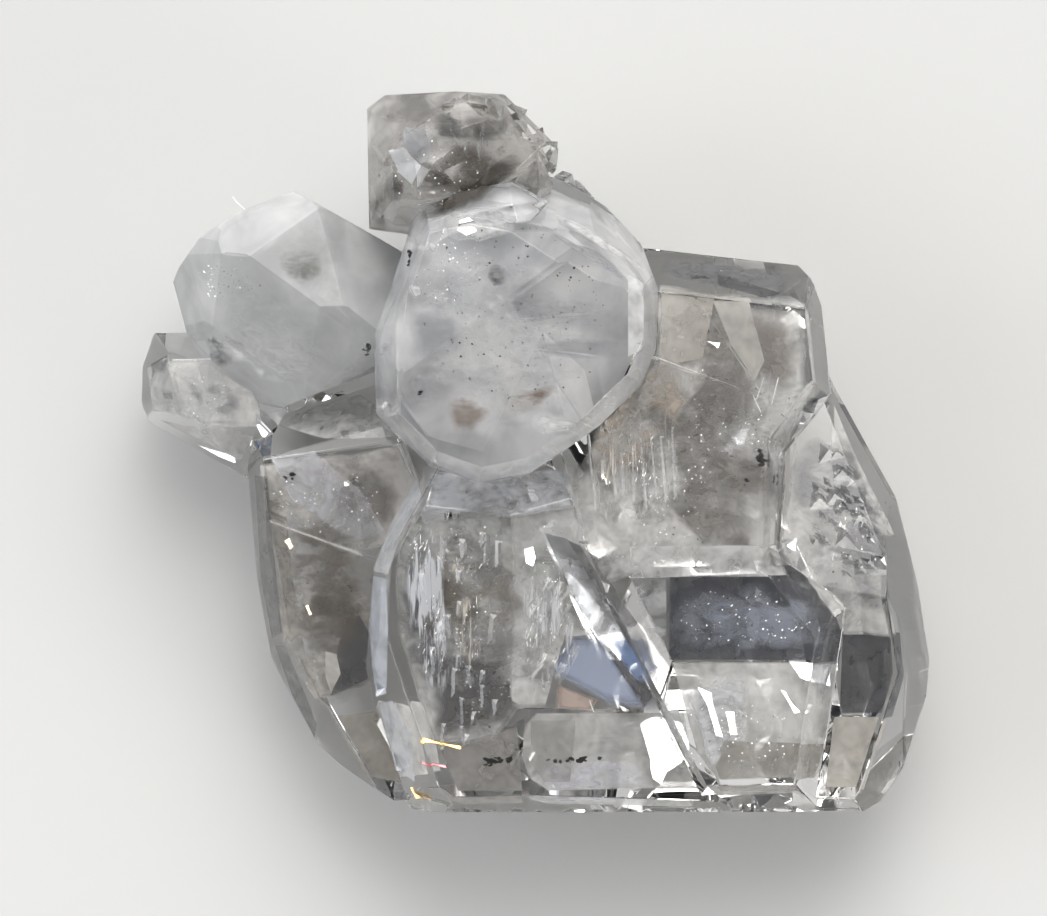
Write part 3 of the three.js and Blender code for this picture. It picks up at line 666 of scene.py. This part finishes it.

# Smoky patches above the paler veils, and two of painted shade.
duskVeils = {
    "lenses": [
        # front crystal
        veil([(-4.2, -6.6), (-0.5, -6.2), (-0.5, -9.9), (-3.6, -10.4)], 0.45,
              (0.14, 0.135, 0.135, 0.95), bend=0.3),
        veil([(-3.7, -2.6), (-0.5, -2.6), (-0.5, -6.6), (-3.7, -6.8)], 0.5, (0.27, 0.235, 0.2, 0.85),
              bend=0.3),
        veil([(-4.7, -3.2), (-3.6, -2.6), (-2.9, -5.0), (-2.9, -8.4), (-3.8, -8.8), (-4.6, -6.0)], 0.6,
              (0.2, 0.2, 0.215, 0.85), bend=0.3),
        # left crystal
        veil([(-9.2, -2.8), (-5.8, -3.8), (-5.8, -7.9), (-7.5, -8.4), (-8.6, -6.4)], 0.45, smoke,
              bend=0.4),
        veil([(-8.0, -0.8), (-5.0, -0.6), (-4.6, -1.6), (-5.8, -3.2), (-7.6, -2.2)], 0.35, dusk,
              bend=0.3),
        veil([(-8.9, -2.0), (-6.6, -2.4), (-5.9, -5.4), (-6.6, -7.4), (-8.5, -6.2)], 0.3,
              (0.21, 0.18, 0.15, 0.9), bend=0.2),
        # right crystal
        veil([(4.9, -1.8), (6.4, -1.6), (6.5, -3.0), (6.0, -3.3), (5.0, -2.4)], 0.45, dusk, bend=0.3),
        veil([(7.0, 0.4), (8.2, 0.3), (8.2, -1.3), (7.2, -1.4)], 0.45, dusk, bend=0.3),
        veil([(6.4, -2.9), (7.6, -2.8), (7.5, -4.0), (6.6, -4.0)], 0.45, dusk, bend=0.3),
        veil([(3.0, -0.1), (4.5, 0.1), (4.3, -0.9), (3.1, -0.8)], 0.35, dusk, bend=0.2),
        veil([(5.4, 3.4), (7.6, 3.2), (7.2, 0.8), (5.6, 1.0)], 0.45, (0.42, 0.4, 0.38, 0.5), bend=0.3),
        veil([(6.8, 5.0), (9.2, 4.8), (9.4, 2.6), (8.6, 2.0), (7.4, 3.6)], 0.4, (0.46, 0.42, 0.39, 0.5),
              bend=0.2),
        # corner crystal
        veil([(9.1, -2.2), (12.2, -3.2), (12.5, -5.8), (10.2, -5.6)], 0.22, (0.14, 0.14, 0.15, 1),
              bend=0.1),
        veil([(9.0, 0.2), (10.6, 0.6), (12.2, -2.8), (9.3, -2.8)], 0.22, (0.24, 0.24, 0.26, 0.9),
              bend=0.1),
        veil([(10.2, 1.6), (11.4, -0.4), (12.4, -2.8), (12.6, -5.8), (11.6, -5.2), (10.4, -1.0)], 0.3,
              (0.2, 0.2, 0.22, 0.9), bend=0.1),
        # right crystal
        veil([(3.6, 2.8), (7.6, 3.2), (8.2, 0.2), (8.0, -3.2), (5.0, -3.2), (3.6, -0.4)], 0.6,
              (0.3, 0.28, 0.26, 0.7), bend=0.3),
        veil([(4.4, 5.4), (8.9, 5.1), (9.2, 2.4), (4.6, 2.8)], 0.55, (0.44, 0.41, 0.38, 0.6), bend=0.2),
        # wing crystal
        veil([(-12.1, 4.0), (-10.6, 4.2), (-10.0, 3.3), (-11.4, 2.9)], 0.12, (0.24, 0.24, 0.25, 0.7),
              bend=0.04),
        # smoky crystal
        veil([(-3.7, 10.3), (-1.7, 10.9), (-0.9, 9.6), (-2.4, 8.9), (-4.0, 9.3)], 0.2,
              (0.13, 0.11, 0.09, 0.95), bend=0.1),
        veil([(-3.7, 11.8), (-1.7, 11.5), (-1.5, 10.8), (-3.2, 10.9)], 0.2, (0.15, 0.145, 0.14, 0.9),
              bend=0.05),
        veil([(-5.2, 9.9), (-4.6, 9.6), (-4.5, 8.8), (-5.2, 8.7)], 0.2, (0.12, 0.11, 0.1, 0.9),
              bend=0.05),
        # wing crystal
        veil([(-9.0, 7.0), (-7.5, 7.1), (-7.4, 6.0), (-8.8, 5.8)], 0.1, (0.42, 0.43, 0.39, 0.5),
              bend=0.03),
        # foot crystal
        veil([(-12.6, 2.9), (-10.4, 2.4), (-10.2, 1.2), (-12.4, 1.6)], 0.2, (0.26, 0.26, 0.28, 0.9),
              bend=0.2),
        # right crystal's back face, painted shade
        veil([(4.2, 6.8), (9.2, 6.3), (9.2, 5.5), (4.3, 5.9)], 0.4, (0.2, 0.2, 0.21, 1), bend=0.1),
        # right crystal's dark pane, painted bluish shade
        veil([(5.0, -4.6), (9.0, -4.6), (10.0, -6.4), (9.8, -7.1), (5.0, -7.1)], 1.3,
              (0.42, 0.45, 0.53, 0.6), bend=0.3),
    ],
    "ragged": 0.4,
    "haze": [(0.34, 0.0), (0.64, 0.9)],
    "grain": 1300.0,
    "stretch": (0.8, 1.3, 1.0),
    "metallic": 0.0,
    "roughness": 0.6,
    "edge": 0.4,
}
makeSheets("duskVeils", duskVeils)

# Stains, bright marks and painted highlights just under the faces of the milky and the smoky crystal.
milkyMarks = {
    "lenses": [
        # brown stains
        veil([(-3.3, 1.7), (-2.8, 2.1), (-2.1, 1.8), (-1.5, 1.4), (-2.0, 0.9), (-2.4, 0.4),
              (-3.0, 1.0)], 0.12, (0.34, 0.25, 0.19, 0.55), bend=0.02),
        veil([(-1.2, 2.0), (0.7, 2.5), (0.6, 1.9), (-0.2, 1.3), (-1.0, 1.2)], 0.12,
              (0.34, 0.26, 0.2, 0.65), bend=0.02),
        # grey clouds
        veil([(-4.6, 4.9), (-3.2, 5.1), (-2.3, 4.2), (-2.6, 3.4), (-4.3, 3.2)], 0.13,
              (0.4, 0.41, 0.44, 0.35), bend=0.02),
        veil([(-1.7, 6.5), (-1.0, 6.5), (-1.0, 5.8), (-1.6, 5.8)], 0.12, (0.12, 0.12, 0.12, 0.9),
              bend=0.02),
        veil([(-1.8, 5.6), (2.2, 5.4), (2.9, 4.2), (-1.2, 4.4)], 0.16, (0.4, 0.4, 0.43, 0.4),
              bend=0.02),
        veil([(-0.8, 3.9), (3.2, 4.0), (3.3, 3.2), (-0.6, 3.3)], 0.16, (0.44, 0.44, 0.47, 0.4),
              bend=0.02),
        veil([(-4.4, 2.9), (-3.4, 2.6), (-3.2, 1.4), (-4.3, 1.6)], 0.14, (0.5, 0.5, 0.53, 0.5),
              bend=0.02),
        # bright marks
        veil([(-0.2, 1.3), (0.8, 1.5), (1.7, 0.9), (1.0, 0.6), (0.2, 0.5)], 0.12, pearl, bend=0.02),
        veil([(-3.8, 7.4), (-3.3, 7.2), (-3.6, 6.8)], 0.12, pearl),
        veil([(-4.4, 5.9), (-3.9, 5.8), (-3.9, 5.3), (-4.3, 5.4)], 0.12, pearl),
        # painted highlight along the upper right edge, and painted shade under it
        veil([(0.2, 8.4), (0.6, 8.5), (4.0, 6.4), (3.8, 6.1)], 0.12, pearl, bend=0.02),
        veil([(0.0, 7.9), (0.2, 8.0), (3.5, 5.9), (3.3, 5.7)], 0.12, (0.45, 0.45, 0.48, 0.8),
              bend=0.02),
        # smoky crystal's foot
        veil([(-4.5, 8.4), (-2.4, 9.2), (-0.8, 10.6), (-0.4, 10.0), (-2.0, 8.5), (-3.9, 7.8)], 0.15,
              (0.09, 0.075, 0.06, 0.95), bend=0.05),
        # milky crystal's top, a painted highlight
        veil([(-3.3, 8.4), (-0.9, 8.6), (-0.3, 8.0), (-1.4, 7.3), (-2.4, 7.2), (-3.3, 7.6)], 0.14,
              (1.0, 1.0, 1.0, 0.7), bend=0.02),
        # smoky crystal
        veil([(-2.6, 11.8), (-0.8, 11.6), (-0.9, 10.9), (-2.4, 11.0)], 0.15, (0.2, 0.19, 0.18, 0.8),
              bend=0.02),
    ],
    "ragged": 0.3,
    "haze": [(0.3, 0.25), (0.55, 0.9)],
    "grain": 1700.0,
    "stretch": (0.6, 1.4, 1.0),
    "metallic": 0.0,
    "roughness": 0.8,
    "edge": 0.5,
}
makeSheets("milkyMarks", milkyMarks)

# The coloured faces of the crack between the front and the right crystal: painted reflected colours and
# painted shade.
crackPaintedLightAndShade = {
    "lenses": [
        # pale blue painted reflection
        veil([(1.2, -6.3), (2.3, -6.3), (4.1, -9.1), (2.6, -8.9), (0.2, -7.6)], 1.0,
              (0.4, 0.46, 0.62, 0.9), bend=0.05, lean=(90, 8)),
        # blue painted reflection
        veil([(2.3, -6.4), (3.9, -6.3), (4.5, -7.9), (3.5, -8.2)], 1.0, (0.28, 0.42, 0.74, 1),
              bend=0.05, lean=(90, 8)),
        # reddish painted reflection
        veil([(0.7, -8.1), (2.2, -8.7), (2.0, -9.1), (0.6, -9.0)], 1.4, (0.66, 0.52, 0.44, 0.9),
              bend=0.05, lean=(90, 8)),
        # dark wedge of painted shade
        veil([(2.0, -6.4), (2.3, -6.5), (3.6, -8.2), (4.5, -8.5), (4.7, -9.1), (3.9, -9.1)], 0.8,
              (0.1, 0.1, 0.12, 0.9), bend=0.05, lean=(90, 8)),
    ],
    "ragged": 0.06,
    "haze": [(0.3, 0.45), (0.6, 0.95)],
    "grain": 900.0,
    "stretch": (1.0, 1.0, 1.0),
    "metallic": 0.0,
    "roughness": 0.3,
    "edge": 0.4,
}
makeSheets("crackPaintedLightAndShade", crackPaintedLightAndShade)

# Small flat cracks, turned so that they catch the light.
mirrorCracks = {
    "lenses": [
        # front crystal's window
        veil([(3.6, -9.5), (4.0, -9.25), (5.1, -9.25), (5.4, -10.2), (5.4, -10.7), (4.6, -11.3),
              (4.4, -11.7), (4.1, -11.5), (4.0, -10.8)], 0.9, (1, 1, 1, 1), bend=0.02, lean=(90, 13)),
        # right crystal's window
        veil([(8.95, -7.35), (10.4, -7.4), (10.35, -8.2), (9.8, -8.1), (9.3, -7.9)], 0.9, (1, 1, 1, 1),
              bend=0.02, lean=(92, 13)),
        veil([(5.7, -8.2), (6.2, -8.4), (6.3, -8.9), (6.6, -10.0), (6.35, -9.95), (6.05, -8.9)], 0.9,
              (1, 1, 1, 1), bend=0.1, lean=(90, 14)),
        veil([(6.7, -9.1), (7.0, -9.1), (7.1, -9.9), (6.85, -9.9)], 0.9, (1, 1, 1, 0.9), bend=0.1,
              lean=(90, 13)),
        veil([(8.6, -8.3), (8.8, -8.4), (9.3, -9.1), (9.1, -9.15)], 0.8, (1, 1, 1, 1), bend=0.1,
              lean=(90, 12)),
        # mirror strips low in the front crystal, tinted yellow, red and amber: painted rainbow flashes
        veil([(-3.95, -10.0), (-2.6, -10.3), (-2.6, -10.42), (-3.95, -10.15)], 0.6, (1, 0.62, 0.18, 1),
              lean=(90, 12)),
        veil([(-3.95, -10.8), (-3.1, -11.0), (-3.1, -11.08), (-3.9, -10.9)], 0.6, (0.8, 0.2, 0.22, 1),
              lean=(90, 12)),
        veil([(-4.4, -11.8), (-3.6, -11.75), (-3.5, -12.1), (-4.2, -12.2)], 0.4, (1, 0.74, 0.36, 1),
              bend=0.02, lean=(90, 12)),
        # front crystal
        veil([(-0.4, -3.4), (-0.1, -3.3), (0.0, -3.7), (-0.1, -4.0), (-0.35, -3.9)], 0.4, (1, 1, 1, 1),
              bend=0.1, lean=(92, 12)),
        # right crystal
        veil([(2.3, -0.7), (2.5, -0.65), (2.65, -1.1), (2.5, -1.15)], 0.4, (1, 0.96, 0.9, 1), bend=0.1,
              lean=(92, 12)),
        # foot crystal's rim
        veil([(-11.95, 0.42), (-10.6, 0.0), (-10.6, -0.4), (-11.2, -0.12)], 0.3, (1, 1, 1, 1),
              lean=(217, 41)),
        # milky crystal's top
        veil([(-2.65, 8.05), (-2.3, 8.15), (-2.0, 7.9), (-2.05, 7.65), (-2.4, 7.5), (-2.7, 7.7)], 0.15,
              (1, 1, 1, 1), bend=0.05, lean=(90, 11)),
        # left crystal: mirrors tinted warm, a painted warm colour on their glints
        veil([(-8.85, -3.1), (-8.65, -3.0), (-8.5, -3.3), (-8.65, -3.45)], 0.4, (1, 0.86, 0.66, 0.9),
              bend=0.1, lean=(92, 12)),
        veil([(-8.1, -5.4), (-8.0, -5.35), (-7.85, -5.7), (-7.95, -5.75)], 0.4, (1, 0.8, 0.58, 0.9),
              bend=0.1, lean=(92, 12)),
        veil([(-6.75, -1.0), (-6.55, -0.95), (-6.5, -1.15), (-6.7, -1.2)], 0.3, (1, 0.95, 0.88, 0.9),
              bend=0.1, lean=(92, 12)),
        # right crystal
        veil([(5.9, 3.95), (6.5, 3.85), (6.4, 3.65)], 0.3, (1, 1, 1, 1), bend=0.1, lean=(92, 12)),
    ],
    "ragged": 0.09,
    "haze": [(0.3, 0.5), (0.45, 1.0)],
    "grain": 2600.0,
    "stretch": (1.0, 1.0, 1.0),
    "metallic": 1.0,
    "roughness": 0.14,
    "edge": 0.16,
}
makeSheets("mirrorCracks", mirrorCracks)

# Fine needles and lint: six-sided tubes along a few points in plan, at a height above the roof.
fibres = {
    "paths": [
        [(7.99, 2.63), (7.74, 1.86)], [(8.51, 2.63), (8.27, 1.68)], [(7.62, 2.0), (7.9, 1.4)],
        [(-10.64, 9.0), (-10.5, 8.8), (-10.2, 8.54)], [(1.9, -8.7), (2.05, -9.1)],
    ],
    "radius": 0.022,
    "tip": 0.6,  # of the radius
    "sides": 6,
    "lift": 0.02,
    "lowest": 7.6,  # where a fibre hangs out past the roof
    "colour": (0.85, 0.84, 0.82, 1),
    "roughness": 0.5,
}


def fibreForm():
    form = bmesh.new()
    sides = fibres["sides"]
    turns = [math.tau * step / sides for step in range(sides)]
    for path in fibres["paths"]:
        spots = [Vector((x, y, max(surfaceHeight(x, y), fibres["lowest"]) + fibres["lift"]))
                 for x, y in path]
        along = (spots[-1] - spots[0]).normalized()
        across = along.cross(Vector((0, 0, 1))).normalized()
        over = across.cross(along)
        hoops = []
        for index, spot in enumerate(spots):
            thin = fibres["radius"] * (fibres["tip"] if index in (0, len(spots) - 1) else 1.0)
            ring = [spot + across * math.cos(turn) * thin + over * math.sin(turn) * thin
                    for turn in turns]
            hoops.append([form.verts.new(place * mm) for place in ring])
        for low, high in zip(hoops, hoops[1:]):
            for step in range(sides):
                after = (step + 1) % sides
                form.faces.new([low[step], low[after], high[after], high[step]])
        form.faces.new(hoops[0][::-1])
        form.faces.new(hoops[-1])
    bmesh.ops.recalc_face_normals(form, faces=form.faces)
    return form


fibreMaterial, g = newMaterial("fibre")
fibreShader = g.node("ShaderNodeBsdfPrincipled", {}, {
    "Base Color": fibres["colour"], "Roughness": fibres["roughness"]})
g.node("ShaderNodeOutputMaterial", {}, {"Surface": fibreShader})
finishPiece(fibreForm(), "fibres", fibreMaterial)


# Specks, glints and streaks: small shapes strewn over carrier sheets that are then removed.
def strewTree(name, material):
    tree = bpy.data.node_groups.new(name, "GeometryNodeTree")
    sockets = tree.interface
    sockets.new_socket("Geometry", in_out="INPUT", socket_type="NodeSocketGeometry")
    for label, kind in (("Density", "Float"), ("Smallest", "Vector"), ("Largest", "Vector"),
                        ("Least Turn", "Vector"), ("Most Turn", "Vector"), ("Seed", "Int")):
        sockets.new_socket(label, in_out="INPUT", socket_type="NodeSocket" + kind)
    sockets.new_socket("Geometry", in_out="OUTPUT", socket_type="NodeSocketGeometry")
    g = Graph(tree)
    given = tree.nodes.new("NodeGroupInput")
    ask = {socket.name: Wire(g, socket) for socket in given.outputs if socket.name}
    spread = g.node("GeometryNodeDistributePointsOnFaces", {}, {
        "Mesh": ask["Geometry"], "Density": ask["Density"], "Seed": ask["Seed"]}, out="Points")
    grain = g.node("GeometryNodeMeshIcoSphere", {}, {"Radius": 1.0, "Subdivisions": 1}, out="Mesh")
    scale = g.node("FunctionNodeRandomValue", {"data_type": "FLOAT_VECTOR"}, {
        0: ask["Smallest"], 1: ask["Largest"], "Seed": ask["Seed"]})
    turn = g.node("FunctionNodeRandomValue", {"data_type": "FLOAT_VECTOR"}, {
        0: ask["Least Turn"], 1: ask["Most Turn"], "Seed": ask["Seed"]})
    placed = g.node("GeometryNodeInstanceOnPoints", {}, {
        "Points": spread, "Instance": grain, "Rotation": turn, "Scale": scale})
    solid = g.node("GeometryNodeRealizeInstances", {}, {0: placed})
    painted = g.node("GeometryNodeSetMaterial", {}, {"Geometry": solid, "Material": material})
    g.node("NodeGroupOutput", {}, {0: painted})
    return tree


def around(x, y, wide, high, depth, bend=0.0):  # a carrier, reaching so far to each side of a place
    outline = [(x - wide, y - high), (x + wide, y - high), (x + wide, y + high), (x - wide, y + high)]
    return veil(outline, depth, (1, 1, 1, 1), bend)


strewing = {
    "ragged": 0.3,  # the carriers' rims
    "grime": 3000.0,
    "dull": 1.6,  # how much rougher the roughest specks are
}


def speckMaterial(name, kind):
    material, g = newMaterial(name)
    place = g.node("ShaderNodeTexCoord", out="Object")
    grime = g.node("ShaderNodeTexNoise", {}, {
        "Vector": place, "Scale": strewing["grime"], "Detail": 1.0})
    rough = g.ramp(grime, [(0.35, kind["roughness"]), (0.7, kind["roughness"] * strewing["dull"])])
    shader = g.node("ShaderNodeBsdfPrincipled", {}, {
        "Base Color": kind["colour"], "Roughness": rough, "Metallic": kind["metallic"]})
    g.node("ShaderNodeOutputMaterial", {}, {"Surface": shader})
    return material


# Entries with a capital go to the tree's inputs: a density per square metre, turns in radians.
def strew(name, kind):
    material = speckMaterial(name, kind)
    carrierMesh = bpy.data.meshes.new(name + "Carrier")
    form = lensForm(kind["carriers"], strewing["ragged"])
    form.to_mesh(carrierMesh)
    form.free()
    carrier = bpy.data.objects.new(name + "Carrier", carrierMesh)
    bpy.context.scene.collection.objects.link(carrier)
    modifier = carrier.modifiers.new("strew", "NODES")
    modifier.node_group = strewTree(name, material)
    for item in modifier.node_group.interface.items_tree:
        if item.in_out == "INPUT" and item.name in kind:
            value = kind[item.name]
            if item.name in ("Smallest", "Largest"):
                value = tuple(part * mm for part in value)
            modifier[item.identifier] = value
    bpy.context.view_layer.update()
    evaluated = carrier.evaluated_get(bpy.context.evaluated_depsgraph_get())
    mesh = bpy.data.meshes.new_from_object(evaluated)
    bpy.data.objects.remove(carrier)
    mesh.name = name
    mesh.materials.clear()
    mesh.materials.append(material)
    addPiece(mesh, name)


carbonSpecks = {
    "carriers": [
        around(-1.3, -10.78, 0.7, 0.09, 0.5), around(-1.6, -10.9, 0.25, 0.12, 0.45),
        around(1.2, -10.8, 0.95, 0.06, 0.5), around(2.0, -10.75, 0.4, 0.08, 0.45),
        around(-8.7, -0.8, 0.2, 0.12, 0.2), around(5.7, 6.1, 0.4, 0.05, 0.25),
        around(7.9, -0.2, 0.12, 0.3, 0.35, 0.2), around(8.35, -0.9, 0.12, 0.2, 0.4, 0.2),
        around(7.4, -0.9, 0.08, 0.1, 0.35), around(4.5, 4.2, 0.03, 0.05, 0.3),
        around(-4.35, 6.8, 0.05, 0.3, 0.12), around(-4.0, 2.1, 0.04, 0.12, 0.1),
        around(-5.9, 3.6, 0.05, 0.2, 0.2),
    ],
    "Density": 3.2e7,
    "Smallest": (0.04, 0.03, 0.02),
    "Largest": (0.15, 0.09, 0.06),
    "Least Turn": (-0.4, -0.4, -0.5),
    "Most Turn": (0.4, 0.4, 0.5),
    "Seed": 4,
    "colour": (0.012, 0.011, 0.01, 1),
    "metallic": 0.0,
    "roughness": 0.5,
}
strew("carbonSpecks", carbonSpecks)

darkSpecks = {
    "carriers": [
        around(12.0, -2.8, 0.6, 1.2, 0.4, 0.2), around(11.2, -4.6, 1.1, 1.0, 0.35, 0.3),
        around(8.2, 1.4, 0.8, 1.0, 0.4, 0.3), around(5.6, -2.4, 0.8, 0.8, 0.4, 0.3),
        around(6.7, 6.2, 1.8, 0.3, 0.3), around(-2.2, -8.6, 1.4, 1.2, 0.5, 0.3),
        around(-7.4, -5.0, 1.0, 1.4, 0.45, 0.3), around(-2.8, 10.2, 1.8, 1.2, 0.2, 0.1),
        around(-0.8, 4.6, 3.0, 3.0, 0.12), around(7.2, -5.8, 2.2, 1.0, 1.1, 0.3),
    ],
    "Density": 2.6e6,
    "Smallest": (0.012, 0.012, 0.008),
    "Largest": (0.06, 0.05, 0.03),
    "Least Turn": (-3.1, -3.1, -3.1),
    "Most Turn": (3.1, 3.1, 3.1),
    "Seed": 14,
    "colour": (0.03, 0.027, 0.024, 1),
    "metallic": 0.0,
    "roughness": 0.5,
}
strew("darkSpecks", darkSpecks)

glintFlakes = {
    "carriers": [
        around(5.9, 1.4, 0.8, 2.2, 0.3, 0.2), around(7.4, 0.4, 1.0, 1.6, 0.4, 0.3),
        around(4.9, -1.6, 1.4, 1.6, 0.4, 0.3), around(-2.2, -3.8, 1.0, 1.4, 0.4, 0.3),
        around(-1.9, -7.4, 1.1, 1.8, 0.4, 0.3), around(0.3, -3.8, 0.6, 1.4, 0.4, 0.3),
        around(-7.2, -1.6, 1.8, 1.2, 0.25, 0.2), around(7.0, -9.8, 2.0, 1.4, 0.8, 0.4),
        around(11.2, -2.6, 0.5, 0.9, 0.15, 0.1), around(7.2, -5.8, 2.2, 1.0, 0.9, 0.4),
        around(-3.0, 6.4, 1.2, 1.2, 0.1), around(-10.6, 6.0, 1.2, 0.8, 0.1),
        around(-3.4, 9.6, 1.6, 1.2, 0.12), around(-11.6, 1.9, 0.9, 0.7, 0.15),
    ],
    "Density": 6.5e6,
    "Smallest": (0.008, 0.008, 0.005),
    "Largest": (0.06, 0.035, 0.012),
    "Least Turn": (-0.3, -0.3, -3.1),
    "Most Turn": (0.3, 0.3, 3.1),
    "Seed": 9,
    "colour": (0.95, 0.96, 0.98, 1),
    "metallic": 1.0,
    "roughness": 0.1,
}
strew("glintFlakes", glintFlakes)

glintStreaks = {
    "carriers": [
        around(-4.0, -3.5, 0.5, 0.9, 0.25, 0.1), around(-3.6, -6.2, 0.45, 1.9, 0.25, 0.1),
        around(-2.2, -4.0, 0.7, 0.15, 0.3, 0.1), around(-2.2, -6.1, 0.3, 0.9, 0.35, 0.2),
        around(0.4, -6.4, 0.9, 1.3, 0.3, 0.2), around(3.4, 0.2, 1.2, 1.2, 0.25, 0.1),
        around(11.0, -2.8, 0.8, 1.2, 0.25, 0.2),
    ],
    "Density": 8.0e6,
    "Smallest": (0.008, 0.05, 0.006),
    "Largest": (0.024, 0.24, 0.012),
    "Least Turn": (-0.25, -0.25, -0.6),
    "Most Turn": (0.35, 0.25, 0.1),
    "Seed": 23,
    "colour": (0.97, 0.96, 0.94, 1),
    "metallic": 1.0,
    "roughness": 0.12,
}
strew("glintStreaks", glintStreaks)
